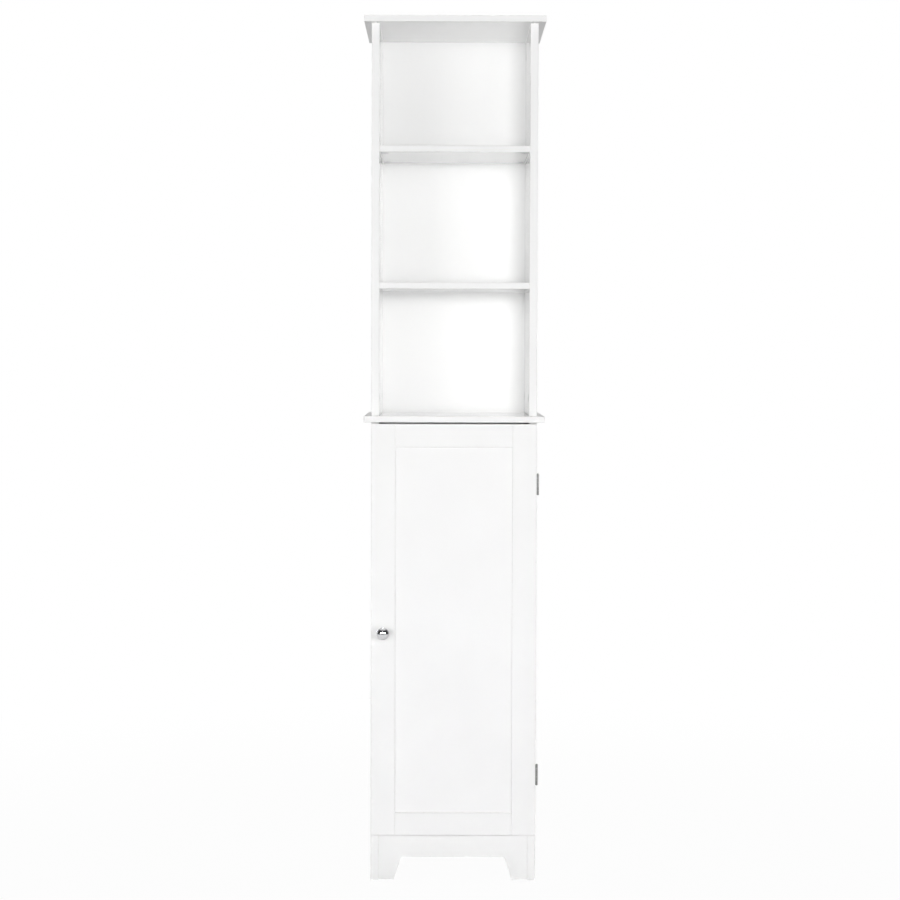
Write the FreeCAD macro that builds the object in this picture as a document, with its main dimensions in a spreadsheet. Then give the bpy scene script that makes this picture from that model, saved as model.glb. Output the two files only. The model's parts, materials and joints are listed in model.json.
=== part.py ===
import FreeCAD, Part
import os
from types import SimpleNamespace

import Sketcher
from FreeCAD import Placement, Rotation, Vector

# A tall, narrow linen cabinet: three open bays above a cupboard with one framed door.
# Lengths are millimetres. The origin lies on the floor under the middle of the outline,
# +X points to the viewer's right, +Y to the wall behind the cabinet and +Z up.

SIZES = {
    # Boards of the cabinet
    "overall_height": 1660,
    "board_width": 346,
    "board_depth": 300,
    "board_thickness": 12,
    "side_thickness": 15,
    "side_overhang": 14,
    "front_overhang": 22,
    "edge_round": 1,
    # Heights of the skirt and the counter, and how compartments and bays share the clear heights
    "skirt_height": 89,
    "counter_height": 899,
    "compartment_low_share": 0.336,
    "compartment_middle_share": 0.336,
    "bay_low_share": 0.3366,
    "bay_middle_share": 0.3434,
    # Skirt and feet
    "skirt_thickness": 12,
    "skirt_setback": 4,
    "arch_height": 44,
    "arch_round": 6,
    "foot_width": 45,
    "foot_slope": 14,
    # Fixed and loose shelves
    "shelf_setback": 2,
    "loose_shelf_setback": 20,
    "loose_shelf_play": 1,
    # Back panels in their grooves
    "back_thickness": 3,
    "back_inset": 8,
    "side_groove_depth": 6,
    "board_groove_depth": 4,
    "groove_play": 0.1,
    "groove_end_play": 0.5,
    # Radial room round every screw, dowel and peg in its hole
    "fit_play": 0.1,
    # Cam locks, their bolts and the dowels between them
    "cam_diameter": 15,
    "cam_skin": 2.5,
    "cam_cross_length": 7,
    "cam_cross_width": 1.4,
    "cam_cross_depth": 1.8,
    "cam_setback_front": 37,
    "cam_setback_rear": 48,
    "joint_step": 32,
    "bolt_reach": 34,
    "shelf_cam_wall": 2,
    "bolt_diameter": 5,
    "bolt_thread_length": 8,
    "bolt_bore_diameter": 8,
    "bolt_neck_diameter": 3,
    "bolt_neck_length": 4,
    "bolt_head_length": 3,
    "dowel_diameter": 6,
    "dowel_length": 24,
    "dowel_sink": 8,
    "upper_dowel_share": 0.4,
    "lower_dowel_share": 0.6,
    # Pegs under the loose shelves
    "peg_diameter": 5,
    "peg_sink": 9,
    "peg_hole_depth": 10,
    "peg_head_diameter": 8,
    "peg_head_length": 9,
    "peg_flat_rise": 1.5,
    "peg_inset": 35,
    "peg_step": 32,
    # Nails along the foot of the cupboard's back panel
    "nail_diameter": 1.6,
    "nail_length": 20,
    "nail_head_diameter": 4,
    "nail_head_height": 0.8,
    "nail_spacing": 110,
    # Door frame and panel
    "door_gap": 3,
    "door_thickness": 15,
    "door_top_gap": 3,
    "door_bottom_gap": 1,
    "door_reveal": 0.5,
    "door_foot_round": 2.5,
    "stile_width": 46.5,
    "rail_width": 45,
    "panel_recess": 5,
    "panel_thickness": 5,
    "panel_groove_depth": 8,
    # Knob and its screw
    "knob_drop": 4,
    "knob_length": 25,
    "knob_diameter": 24,
    "knob_dome_height": 4,
    "knob_rim_height": 4,
    "knob_cup_height": 5,
    "knob_stem_diameter": 9,
    "knob_foot_diameter": 14,
    "knob_foot_height": 3,
    "knob_rim_round": 1.8,
    "knob_neck_round": 3,
    "knob_foot_round": 1.5,
    "knob_screw_diameter": 4,
    "knob_screw_sink": 12,
    "knob_screw_end_play": 0.5,
    "knob_screw_head_diameter": 8,
    "knob_screw_head_height": 2,
    # Butt hinges
    "hinge_distance": 116,
    "hinge_height": 40,
    "knuckle_diameter": 4.8,
    "knuckle_gap": 0.3,
    "leaf_width": 15,
    "leaf_thickness": 1.2,
    "leaf_notch_gap": 0.4,
    "leaf_screw_inset": 10,
    "leaf_screw_spacing": 24,
    "hinge_pin_diameter": 2,
    "hinge_pin_play": 0.05,
    "hinge_pin_head_diameter": 3.6,
    "hinge_pin_head_height": 1,
    # Countersunk screws of the hinges and the strike plate
    "flat_screw_diameter": 2.8,
    "flat_screw_flare": 1,
    "flat_screw_length": 11,
    # Magnetic catch inside the left side, and its strike plate on the door
    "catch_rise": 60,
    "catch_length": 46,
    "catch_depth": 20,
    "catch_flange": 3,
    "catch_housing_length": 26,
    "catch_housing_width": 14,
    "magnet_thickness": 5,
    "magnet_length": 20,
    "magnet_depth": 14,
    "pole_thickness": 1.5,
    "pole_proud": 1.2,
    "catch_screw_diameter": 3,
    "catch_screw_sink": 9,
    "catch_screw_head_diameter": 6,
    "catch_screw_head_height": 2,
    "strike_thickness": 1.2,
    "strike_width": 12,
    "strike_length": 30,
}

# Counts
HINGE_KNUCKLES = 5
FRAME_KNUCKLES = range(0, HINGE_KNUCKLES, 2)
DOOR_KNUCKLES = range(1, HINGE_KNUCKLES, 2)
PEG_STEPS = (-1, 0, 1)
NAIL_STEPS = (-1, 0, 1)
FULL_TURN_DEGREES = 360

doc = FreeCAD.newDocument("LinenCabinet")
sheet = doc.addObject("Spreadsheet::Sheet", "Sizes")
for row, (alias, number) in enumerate(SIZES.items(), start=1):
    sheet.set(f"A{row}", alias)
    sheet.set(f"B{row}", str(number))
    sheet.setAlias(f"B{row}", alias)
doc.recompute()

# size.board_width is the expression "Sizes.board_width", and so on for every cell
size = SimpleNamespace(**{alias: f"Sizes.{alias}" for alias in SIZES})

# Places in the cabinet, as expressions of the cells
side_depth = f"({size.board_depth} - {size.front_overhang})"
overall_depth = f"({side_depth} + {size.door_gap} + {size.door_thickness} + {size.knob_length})"
rear = f"({overall_depth} / 2)"
side_front = f"({rear} - {side_depth})"
board_front = f"({rear} - {size.board_depth})"
board_left = f"(-{size.board_width} / 2)"
outer_x = f"({size.board_width} / 2 - {size.side_overhang})"
inner_x = f"({outer_x} - {size.side_thickness})"
inner_width = f"(2 * {inner_x})"
top_under = f"({size.overall_height} - {size.board_thickness})"
counter_under = f"({size.counter_height} - {size.board_thickness})"
floor_top = f"({size.skirt_height} + {size.board_thickness})"

def shelf_levels(low, high, low_share, middle_share):
    """The undersides of two shelves that share the height between two boards."""
    clear = f"({high} - {low} - 2 * {size.board_thickness})"
    first = f"({low} + {low_share} * {clear})"
    second = f"({first} + {size.board_thickness} + {middle_share} * {clear})"
    return {"low": first, "high": second}


shelf_under = shelf_levels(size.counter_height, top_under, size.bay_low_share, size.bay_middle_share)
loose_under = shelf_levels(floor_top, counter_under, size.compartment_low_share, size.compartment_middle_share)
loose_front = f"({side_front} + {size.loose_shelf_setback})"
panel_rear = f"({rear} - {size.back_inset})"
panel_front = f"({panel_rear} - {size.back_thickness})"
door_back = f"({side_front} - {size.door_gap})"
door_front = f"({door_back} - {size.door_thickness})"
door_right = f"({outer_x} - {size.door_reveal})"
door_low = f"({size.skirt_height} + {size.door_bottom_gap})"
door_top = f"({counter_under} - {size.door_top_gap})"
door_height = f"({door_top} - {door_low})"
cam_depth = f"({size.board_thickness} - {size.cam_skin})"
bolt_cover = f"({size.board_thickness} / 2)"
shelf_bolt_reach = f"({size.cam_diameter} / 2 + {size.shelf_cam_wall})"

# The three axes, the two axes that each sketch plane shows, and the one that it faces
UNIT = {
    "+x": Vector(1, 0, 0),
    "-x": Vector(-1, 0, 0),
    "+y": Vector(0, 1, 0),
    "-y": Vector(0, -1, 0),
    "+z": Vector(0, 0, 1),
    "-z": Vector(0, 0, -1),
}
IN_PLANE = {"XY": "xy", "XZ": "xz", "YZ": "yz"}
ACROSS_PLANE = {"XY": "z", "XZ": "y", "YZ": "x"}

# Each face of a board: its sketch plane, and whether it lies at the far end of its axis
FACES = {
    "left": ("YZ", False),
    "right": ("YZ", True),
    "front": ("XZ", False),
    "rear": ("XZ", True),
    "bottom": ("XY", False),
    "top": ("XY", True),
}

parts = []


def value(expression):
    """The present number of an expression, in millimetres."""
    result = sheet.evalExpression(expression)
    return float(getattr(result, "Value", result))


def along_axis(triple, axis):
    """The x, y or z of a place or of three lengths."""
    return triple["xyz".index(axis)]


def moved(spot, direction, distance):
    """A place moved by an expression along a direction such as "+x"."""
    sign, moving = direction
    return tuple(f"({start} {sign} {distance})" if axis == moving else start for axis, start in zip("xyz", spot))


def opposite(direction):
    return {"+": "-", "-": "+"}[direction[0]] + direction[1]


def turned_to(into, mouth):
    """The turn that points a pattern's own z along into, and its own x along mouth."""
    return Rotation(UNIT[mouth], UNIT[into].cross(UNIT[mouth]), UNIT[into], "ZXY")


def pointed(direction):
    """The turn that points a round pattern's own z along a direction."""
    return Rotation(UNIT["+z"], UNIT[direction])


def place(item, spot, turn=Rotation()):
    item.Placement = Placement(Vector(), turn)
    for axis, expression in zip("xyz", spot):
        item.setExpression(f"Placement.Base.{axis}", expression)


def new_body(label):
    body = doc.addObject("PartDesign::Body", label)
    body.Label = label
    return body


def new_sketch(body, name, plane, offset="0"):
    sketch = body.newObject("Sketcher::SketchObject", name)
    support = next(item for item in body.Origin.OriginFeatures if item.Role == f"{plane}_Plane")
    sketch.AttachmentSupport = [(support, "")]
    sketch.MapMode = "FlatFace"
    sketch.setExpression("AttachmentOffset.Base.z", offset)
    return sketch


def bind(sketch, expression, kind, *points):
    """Add a measured constraint and tie it to an expression."""
    index = sketch.addConstraint(Sketcher.Constraint(kind, *points, value(expression)))
    sketch.setExpression(f"Constraints[{index}]", expression)


def fix_point(sketch, geometry, vertex, across, up):
    bind(sketch, across, "DistanceX", -1, 1, geometry, vertex)
    bind(sketch, up, "DistanceY", -1, 1, geometry, vertex)


def rectangle(left, low, right, high):
    return [(left, low), (right, low), (right, high), (left, high)]


def draw_outline(sketch, corners):
    """A closed outline of straight lines through corners that are pairs of expressions."""
    points = [Vector(value(across), value(up), 0) for across, up in corners]
    first = sketch.GeometryCount
    for start, end in zip(points, points[1:] + points[:1]):
        sketch.addGeometry(Part.LineSegment(start, end), False)
    for index, (across, up) in enumerate(corners):
        following = (index + 1) % len(corners)
        sketch.addConstraint(Sketcher.Constraint("Coincident", first + index, 2, first + following, 1))
        fix_point(sketch, first + index, 1, across, up)


def draw_circle(sketch, across, up, diameter):
    centre = Vector(value(across), value(up), 0)
    index = sketch.addGeometry(Part.Circle(centre, UNIT["+z"], value(diameter) / 2), False)
    fix_point(sketch, index, 3, across, up)
    bind(sketch, diameter, "Diameter", index)


def pad(body, sketch, length, reverse=False):
    feature = body.newObject("PartDesign::Pad", "Pad")
    feature.Profile = sketch
    feature.Reversed = reverse
    feature.setExpression("Length", length)
    doc.recompute()


def pocket(body, sketch, depth, reverse=False):
    """Cut a pocket, and stop if it took nothing away."""
    before = body.Shape.Volume
    feature = body.newObject("PartDesign::Pocket", "Pocket")
    feature.Profile = sketch
    feature.Reversed = reverse
    feature.setExpression("Length", depth)
    doc.recompute()
    if not body.Shape.Volume < before:
        raise RuntimeError(f"{body.Label}: a pocket cut nothing")


def dress(body, kind, edges, **measures):
    """Round or chamfer the edges that a test picks."""
    base = body.Tip
    names = [f"Edge{number}" for number, edge in enumerate(base.Shape.Edges, start=1) if edges(edge)]
    if not names:
        raise RuntimeError(f"{body.Label}: no edge to dress")
    feature = body.newObject(f"PartDesign::{kind}", kind)
    feature.Base = (base, names)
    for name, expression in measures.items():
        feature.setExpression(name, expression)
    doc.recompute()


def near(first, second):
    return abs(first - second) < Part.Precision.confusion() * 10


def ring(radius, axis, level):
    """A test for round edges of one radius at one level of an axis."""

    def picked(edge):
        if edge.Degenerated or not isinstance(edge.Curve, Part.Circle):
            return False
        centre = edge.Curve.Center
        return near(edge.Curve.Radius, value(radius)) and near(along_axis(centre, axis), value(level))

    return picked


class Board:
    """A flat piece. Its own frame starts at its lowest front left corner."""

    def __init__(self, label, corner, lengths, plane="XY", outline=None):
        self.corner = corner
        self.lengths = lengths
        self.holes = {}
        self.body = new_body(label)
        parts.append(self.body)
        place(self.body, corner)
        sketch = new_sketch(self.body, "Outline", plane)
        far_corner = [along_axis(lengths, axis) for axis in IN_PLANE[plane]]
        draw_outline(sketch, outline or rectangle("0", "0", *far_corner))
        pad(self.body, sketch, along_axis(lengths, ACROSS_PLANE[plane]), reverse=plane == "XZ")

    def on_face(self, face, spot):
        """The two coordinates of a cabinet place in the sketch of a face."""
        plane = FACES[face][0]
        return [f"({along_axis(spot, axis)} - {along_axis(self.corner, axis)})" for axis in IN_PLANE[plane]]

    def face_sketch(self, face, name):
        plane, far = FACES[face]
        length = along_axis(self.lengths, ACROSS_PLANE[plane])
        offset = f"(-{length})" if plane == "XZ" else length
        return new_sketch(self.body, name, plane, offset if far else "0")

    def sink(self, face, sketch, depth):
        """Cut a sketch on a face into the board."""
        plane, far = FACES[face]
        pocket(self.body, sketch, depth, reverse=far if plane == "XZ" else not far)

    def groove(self, face, low, high, depth):
        """Mill a rectangle between two cabinet places into a face."""
        sketch = self.face_sketch(face, "Groove")
        draw_outline(sketch, rectangle(*self.on_face(face, low), *self.on_face(face, high)))
        self.sink(face, sketch, depth)

    def hole(self, face, spot, diameter, depth):
        """Note a hole. All holes alike are drilled together by drill()."""
        self.holes.setdefault((face, diameter, depth), []).append(spot)

    def drill(self):
        for (face, diameter, depth), spots in self.holes.items():
            sketch = self.face_sketch(face, "Holes")
            for spot in spots:
                draw_circle(sketch, *self.on_face(face, spot), diameter)
            self.sink(face, sketch, depth)

    def lies_on(self, edge, face):
        plane, far = FACES[face]
        axis = ACROSS_PLANE[plane]
        level = value(along_axis(self.lengths, axis)) if far else 0
        return all(near(along_axis(vertex.Point, axis), level) for vertex in edge.Vertexes)

    def ease(self, *corners, radius=size.edge_round):
        """Round the edges where two named faces meet, such as ("front", "top")."""

        def picked(edge):
            return any(all(self.lies_on(edge, face) for face in pair) for pair in corners)

        dress(self.body, "Fillet", picked, Radius=radius)


def turned(label, profile):
    """A round pattern, turned about its own z from pairs of radius and height."""
    body = new_body(label)
    sketch = new_sketch(body, "Profile", "XZ")
    draw_outline(sketch, profile)
    revolve(body, sketch)
    return body


def revolve(body, sketch):
    feature = body.newObject("PartDesign::Revolution", "Turned")
    feature.Profile = sketch
    feature.ReferenceAxis = (sketch, ["V_Axis"])
    feature.Angle = FULL_TURN_DEGREES
    doc.recompute()


def copies(label, pattern, places):
    """One node of equal pieces: a link to the pattern at each spot and turn."""
    links = []
    for number, (spot, turn) in enumerate(places, start=1):
        link = doc.addObject("App::Link", f"{label}_{number}")
        link.setLink(pattern)
        place(link, spot, turn)
        links.append(link)
    group = doc.addObject("Part::Compound", label)
    group.Label = label
    group.Links = links
    parts.append(group)


def single(body, spot, turn=Rotation()):
    """A piece that occurs once, put in its place."""
    place(body, spot, turn)
    parts.append(body)


# Patterns of the small hardware, each in its own frame


def half(length):
    return f"({length} / 2)"


def wider(diameter, play):
    return f"({diameter} + 2 * {play})"


def make_cam():
    """A cam lock: a drum whose tunnel takes the bolt's head, with a cross for the driver.

    Its own z runs from its open face into the board, and its own x points at the bolt.
    """
    body = new_body("cam_pattern")
    drum = new_sketch(body, "Drum", "XY")
    draw_circle(drum, "0", "0", size.cam_diameter)
    pad(body, drum, cam_depth)
    reach = half(wider(size.bolt_diameter, f"(2 * {size.fit_play})"))
    tunnel_end = f"({half(size.bolt_head_length)} + {size.fit_play})"
    tunnel = new_sketch(body, "Tunnel", "YZ", f"(-{tunnel_end})")
    low = f"({bolt_cover} - {reach})"
    high = f"({bolt_cover} + {reach})"
    draw_outline(tunnel, rectangle(f"(-{reach})", low, reach, high))
    pocket(body, tunnel, f"({size.cam_diameter} + {tunnel_end})", reverse=True)
    arm = half(size.cam_cross_length)
    web = half(size.cam_cross_width)
    for number, (wide, tall) in enumerate(((arm, web), (web, arm))):
        cross = new_sketch(body, f"Cross{number}", "XY")
        draw_outline(cross, rectangle(f"(-{wide})", f"(-{tall})", wide, tall))
        pocket(body, cross, size.cam_cross_depth, reverse=True)
    return body


def make_bolt(label, reach):
    """A cam bolt. Its own z starts at the tip of its thread."""
    shank = half(size.bolt_diameter)
    neck = half(size.bolt_neck_diameter)
    end = f"({size.bolt_thread_length} + {reach} + {half(size.bolt_head_length)})"
    head_start = f"({end} - {size.bolt_head_length})"
    neck_start = f"({head_start} - {size.bolt_neck_length})"
    outline = [
        ("0", "0"),
        (shank, "0"),
        (shank, neck_start),
        (neck, neck_start),
        (neck, head_start),
        (shank, head_start),
        (shank, end),
        ("0", end),
    ]
    return turned(label, outline)


def make_dowel():
    radius = half(size.dowel_diameter)
    return turned("dowel_pattern", rectangle("0", "0", radius, size.dowel_length))


def headed(label, head_radius, head_height, radius, length):
    """A nail or round-headed screw. Its own z starts at the top of its head."""
    end = f"({head_height} + {length})"
    outline = [
        ("0", "0"),
        (head_radius, "0"),
        (head_radius, head_height),
        (radius, head_height),
        (radius, end),
        ("0", end),
    ]
    return turned(label, outline)


def make_flat_screw(label):
    """A countersunk screw. Its own z starts at the top of its head."""
    radius = half(size.flat_screw_diameter)
    head_radius = f"({radius} + {size.flat_screw_flare})"
    outline = [
        ("0", "0"),
        (head_radius, "0"),
        (radius, size.flat_screw_flare),
        (radius, size.flat_screw_length),
        ("0", size.flat_screw_length),
    ]
    return turned(label, outline)


def make_peg():
    """A shelf peg. Its own z runs out of the side, and its flat faces its own x."""
    radius = half(size.peg_diameter)
    head_radius = half(size.peg_head_diameter)
    end = f"({size.peg_sink} + {size.peg_head_length})"
    outline = [
        ("0", "0"),
        (radius, "0"),
        (radius, size.peg_sink),
        (head_radius, size.peg_sink),
        (head_radius, end),
        ("0", end),
    ]
    body = turned("peg_pattern", outline)
    flat = new_sketch(body, "Flat", "XY", size.peg_sink)
    draw_outline(flat, rectangle(size.peg_flat_rise, f"(-{head_radius})", head_radius, head_radius))
    pocket(body, flat, size.peg_head_length, reverse=True)
    return body


cam_pattern = make_cam()
bolt_pattern = make_bolt("bolt_pattern", size.bolt_reach)
shelf_bolt_pattern = make_bolt("shelf_bolt_pattern", shelf_bolt_reach)
dowel_pattern = make_dowel()
flat_screw_pattern = make_flat_screw("flat_screw_pattern")
peg_pattern = make_peg()


class Joints:
    """The knock-down joints of one part of the cabinet: their holes and their hardware.

    All their bolts are alike, and reach equally far from the mate to the cam.
    """

    def __init__(self, bolt, reach):
        self.bolt = bolt
        self.reach = reach
        self.cams = []
        self.bolts = []
        self.dowels = []

    def cam(self, carrier, end, face, into, mate, mate_face, spot, along):
        """Join two boards with a cam.

        The bolt leaves the mate's face at spot and runs along into the end of the carrier,
        where the cam is let into the carrier's face, in the direction called into.
        """
        back = opposite(along)
        middle = moved(moved(spot, along, self.reach), opposite(into), bolt_cover)
        carrier.hole(face, middle, wider(size.cam_diameter, size.fit_play), cam_depth)
        carrier.hole(end, spot, size.bolt_bore_diameter, self.reach)
        mate.hole(mate_face, spot, wider(size.bolt_diameter, size.fit_play), size.bolt_thread_length)
        self.cams.append((middle, turned_to(into, back)))
        self.bolts.append((moved(spot, back, size.bolt_thread_length), pointed(along)))

    def dowel(self, carrier, end, mate, mate_face, spot, along):
        """Line two boards up with a dowel across the joint at spot."""
        diameter = wider(size.dowel_diameter, size.fit_play)
        carrier.hole(end, spot, diameter, f"({size.dowel_length} - {size.dowel_sink})")
        mate.hole(mate_face, spot, diameter, size.dowel_sink)
        self.dowels.append((moved(spot, opposite(along), size.dowel_sink), pointed(along)))

    def export(self, name):
        copies(f"cam_locks_{name}", cam_pattern, self.cams)
        copies(f"cam_bolts_{name}", self.bolt, self.bolts)
        copies(f"dowels_{name}", dowel_pattern, self.dowels)


# Top, middle and floor boards, side panels and skirt

SIDES = {
    "left": {"sign": "-", "start": f"(-{outer_x})", "inner": "right", "inwards": "+x", "outwards": "-x"},
    "right": {"sign": "+", "start": inner_x, "inner": "left", "inwards": "-x", "outwards": "+x"},
}

board_lengths = (size.board_width, size.board_depth, size.board_thickness)
top_board = Board("top_board", (board_left, board_front, top_under), board_lengths)
middle_board = Board("middle_board", (board_left, board_front, counter_under), board_lengths)
for overhanging in (top_board, middle_board):
    overhanging.ease(
        ("front", "top"),
        ("front", "bottom"),
        ("left", "top"),
        ("left", "bottom"),
        ("right", "top"),
        ("right", "bottom"),
        ("front", "left"),
        ("front", "right"),
    )

floor_lengths = (inner_width, f"({panel_front} - {side_front})", size.board_thickness)
bottom_board = Board("bottom_board", (f"(-{inner_x})", side_front, size.skirt_height), floor_lengths)


def arched(length, height, foot):
    """An upright outline whose lower edge is cut away between two sloping feet."""
    foot_top = f"({foot} + {size.foot_slope})"
    return [
        ("0", "0"),
        (foot, "0"),
        (foot_top, size.arch_height),
        (f"({length} - {foot_top})", size.arch_height),
        (f"({length} - {foot})", "0"),
        (length, "0"),
        (length, height),
        ("0", height),
    ]


def round_arch(board, axis):
    """Round the two upper corners of an arch, whose edges run along one axis."""

    def corner(edge):
        points = [vertex.Point for vertex in edge.Vertexes]
        level = all(near(point.z, value(size.arch_height)) for point in points)
        start, end = (along_axis(point, axis) for point in (points[0], points[-1]))
        return level and not near(start, end)

    dress(board.body, "Fillet", corner, Radius=size.arch_round)


upper_sides = {}
lower_sides = {}
for name, side in SIDES.items():
    upper_height = f"({top_under} - {size.counter_height})"
    upper = Board(
        f"upper_side_{name}",
        (side["start"], side_front, size.counter_height),
        (size.side_thickness, side_depth, upper_height),
    )
    lower = Board(
        f"lower_side_{name}",
        (side["start"], side_front, "0"),
        (size.side_thickness, side_depth, counter_under),
        plane="YZ",
        outline=arched(side_depth, counter_under, size.foot_width),
    )
    for panel in (upper, lower):
        panel.ease(("front", "left"), ("front", "right"), ("rear", "left"), ("rear", "right"))
    round_arch(lower, "x")
    upper_sides[name] = upper
    lower_sides[name] = lower

skirt_front = f"({side_front} + {size.skirt_setback})"
front_skirt = Board(
    "front_skirt",
    (f"(-{inner_x})", skirt_front, "0"),
    (inner_width, size.skirt_thickness, size.skirt_height),
    plane="XZ",
    outline=arched(inner_width, size.skirt_height, f"({size.foot_width} - {size.side_thickness})"),
)
round_arch(front_skirt, "y")

# Fixed shelves of the open bays, loose shelves of the cupboard

fixed_front = f"({side_front} + {size.shelf_setback})"
fixed_shelves = {}
loose_shelves = {}
for level in ("high", "low"):
    shelf = Board(
        f"upper_shelf_{level}",
        (f"(-{inner_x})", fixed_front, shelf_under[level]),
        (inner_width, f"({panel_front} - {fixed_front})", size.board_thickness),
    )
    shelf.ease(("front", "top"), ("front", "bottom"))
    fixed_shelves[level] = shelf
    loose = Board(
        f"inner_shelf_{level}",
        (f"(-{inner_x} + {size.loose_shelf_play})", loose_front, loose_under[level]),
        (
            f"({inner_width} - 2 * {size.loose_shelf_play})",
            f"({panel_front} - {size.loose_shelf_play} - {loose_front})",
            size.board_thickness,
        ),
    )
    loose.ease(("front", "top"), ("front", "bottom"))
    loose_shelves[level] = loose

# Back panels, and the grooves that hold them

groove_low = f"({panel_front} - {size.groove_play})"
groove_high = f"({panel_rear} + {size.groove_play})"
groove_x = f"({inner_x} + {size.side_groove_depth})"
panel_x = f"({groove_x} - {size.groove_end_play})"
panel_tongue = f"({size.board_groove_depth} - {size.groove_end_play})"


def back_panel(label, low, high):
    return Board(
        label,
        (f"(-{panel_x})", panel_front, low),
        (f"(2 * {panel_x})", size.back_thickness, f"({high} - {low})"),
    )


upper_back = back_panel(
    "upper_back_panel",
    f"({size.counter_height} - {panel_tongue})",
    f"({top_under} + {panel_tongue})",
)
lower_back = back_panel("lower_back_panel", size.skirt_height, f"({counter_under} + {panel_tongue})")

for board, face in ((top_board, "bottom"), (middle_board, "top"), (middle_board, "bottom")):
    board.groove(
        face,
        (f"(-{groove_x})", groove_low, "0"),
        (groove_x, groove_high, "0"),
        size.board_groove_depth,
    )
for name, side in SIDES.items():
    for panel, low, high in (
        (upper_sides[name], size.counter_height, top_under),
        (lower_sides[name], size.skirt_height, counter_under),
    ):
        panel.groove(side["inner"], ("0", groove_low, low), ("0", groove_high, high), size.side_groove_depth)

# Knock-down joints

upper_joints = Joints(bolt_pattern, size.bolt_reach)
shelf_joints = Joints(shelf_bolt_pattern, shelf_bolt_reach)
lower_joints = Joints(bolt_pattern, size.bolt_reach)


def cam_rows(step):
    """The two distances from front to back where a joint has its cams."""
    front = f"({side_front} + {size.cam_setback_front} + {step})"
    return front, f"({rear} - {size.cam_setback_rear} - {step})"


def dowel_row(step, share):
    """The place of a joint's dowel between its two cams."""
    front, back = cam_rows(step)
    return f"({front} + {share} * ({back} - {front}))"


def join_upright(joints, panel, side, mate, mate_face, level, along, step, dowel_share):
    """Fasten one end of a side panel to the board that it meets."""
    end = "bottom" if along == "+z" else "top"
    line = f"({side['sign']} ({inner_x} + {bolt_cover}))"
    for row in cam_rows(step):
        spot = (line, row, level)
        joints.cam(panel, end, side["inner"], side["outwards"], mate, mate_face, spot, along)
    centre = f"({side['sign']} ({inner_x} + {size.side_thickness} / 2))"
    joints.dowel(panel, end, mate, mate_face, (centre, dowel_row(step, dowel_share), level), along)


def join_shelf(joints, shelf, side, name, panel, under):
    """Fasten one end of a shelf to a side panel, with cams under the shelf."""
    line = f"({side['sign']} {inner_x})"
    for row in cam_rows("0"):
        spot = (line, row, f"({under} + {bolt_cover})")
        joints.cam(shelf, name, "bottom", "+z", panel, side["inner"], spot, side["inwards"])
    spot = (line, dowel_row("0", size.upper_dowel_share), f"({under} + {size.board_thickness} / 2)")
    joints.dowel(shelf, name, panel, side["inner"], spot, side["inwards"])


for name, side in SIDES.items():
    upper = upper_sides[name]
    lower = lower_sides[name]
    share = size.upper_dowel_share
    join_upright(upper_joints, upper, side, top_board, "bottom", top_under, "-z", "0", share)
    join_upright(upper_joints, upper, side, middle_board, "top", size.counter_height, "+z", "0", share)
    share = size.lower_dowel_share
    join_upright(lower_joints, lower, side, middle_board, "bottom", counter_under, "-z", size.joint_step, share)
    for level, shelf in fixed_shelves.items():
        join_shelf(shelf_joints, shelf, side, name, upper, shelf_under[level])
    join_shelf(lower_joints, bottom_board, side, name, lower, size.skirt_height)
    skirt_end = f"({side['sign']} {inner_x})"
    skirt_middle = f"({size.arch_height} + ({size.skirt_height} - {size.arch_height}) / 2)"
    bolt_line = f"({skirt_front} + {size.skirt_thickness} - {bolt_cover})"
    cam_spot = (skirt_end, bolt_line, skirt_middle)
    lower_joints.cam(front_skirt, name, "rear", "-y", lower, side["inner"], cam_spot, side["inwards"])
    dowel_spot = (skirt_end, f"({skirt_front} + {size.skirt_thickness} / 2)", half(size.arch_height))
    lower_joints.dowel(front_skirt, name, lower, side["inner"], dowel_spot, side["inwards"])

upper_joints.export("upper")
shelf_joints.export("shelves")
lower_joints.export("lower")

# Pegs of the loose shelves, in rows of holes

loose_rear = f"({panel_front} - {size.loose_shelf_play})"
peg_rows = (f"({loose_front} + {size.peg_inset})", f"({loose_rear} - {size.peg_inset})")
for level in loose_shelves:
    pegs = []
    for name, side in SIDES.items():
        for row in peg_rows:
            spot = (f"({side['sign']} {inner_x})", row, f"({loose_under[level]} - {size.peg_flat_rise})")
            for step in PEG_STEPS:
                hole_spot = moved(spot, "+z", f"{step} * {size.peg_step}")
                hole_diameter = wider(size.peg_diameter, size.fit_play)
                lower_sides[name].hole(side["inner"], hole_spot, hole_diameter, size.peg_hole_depth)
            tip = moved(spot, side["outwards"], size.peg_sink)
            pegs.append((tip, turned_to(side["inwards"], "+z")))
    copies(f"shelf_pegs_{level}", peg_pattern, pegs)

# Nails of the lower back panel

nail_pattern = headed(
    "nail_pattern",
    half(size.nail_head_diameter),
    size.nail_head_height,
    half(size.nail_diameter),
    size.nail_length,
)
nails = []
for step in NAIL_STEPS:
    spot = (f"({step} * {size.nail_spacing})", panel_rear, f"({size.skirt_height} + {size.board_thickness} / 2)")
    nail_hole = wider(size.nail_diameter, size.fit_play)
    lower_back.hole("rear", spot, nail_hole, size.back_thickness)
    bottom_board.hole("rear", spot, nail_hole, f"({size.nail_length} - {size.back_thickness})")
    nails.append((moved(spot, "+y", size.nail_head_height), pointed("-y")))
copies("back_panel_nails", nail_pattern, nails)

# Door: stiles with a groove, rails with tongues, and a loose panel between them

door_left = f"(-{door_right})"
opening_x = f"({door_right} - {size.stile_width})"
tongue_length = f"({size.panel_groove_depth} - {size.groove_end_play})"
tongue_front = f"({door_front} + {size.panel_recess})"
tongue_rear = f"({tongue_front} + {size.panel_thickness})"
door_groove_front = f"({tongue_front} - {size.groove_play})"
door_groove_rear = f"({tongue_rear} + {size.groove_play})"

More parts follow.
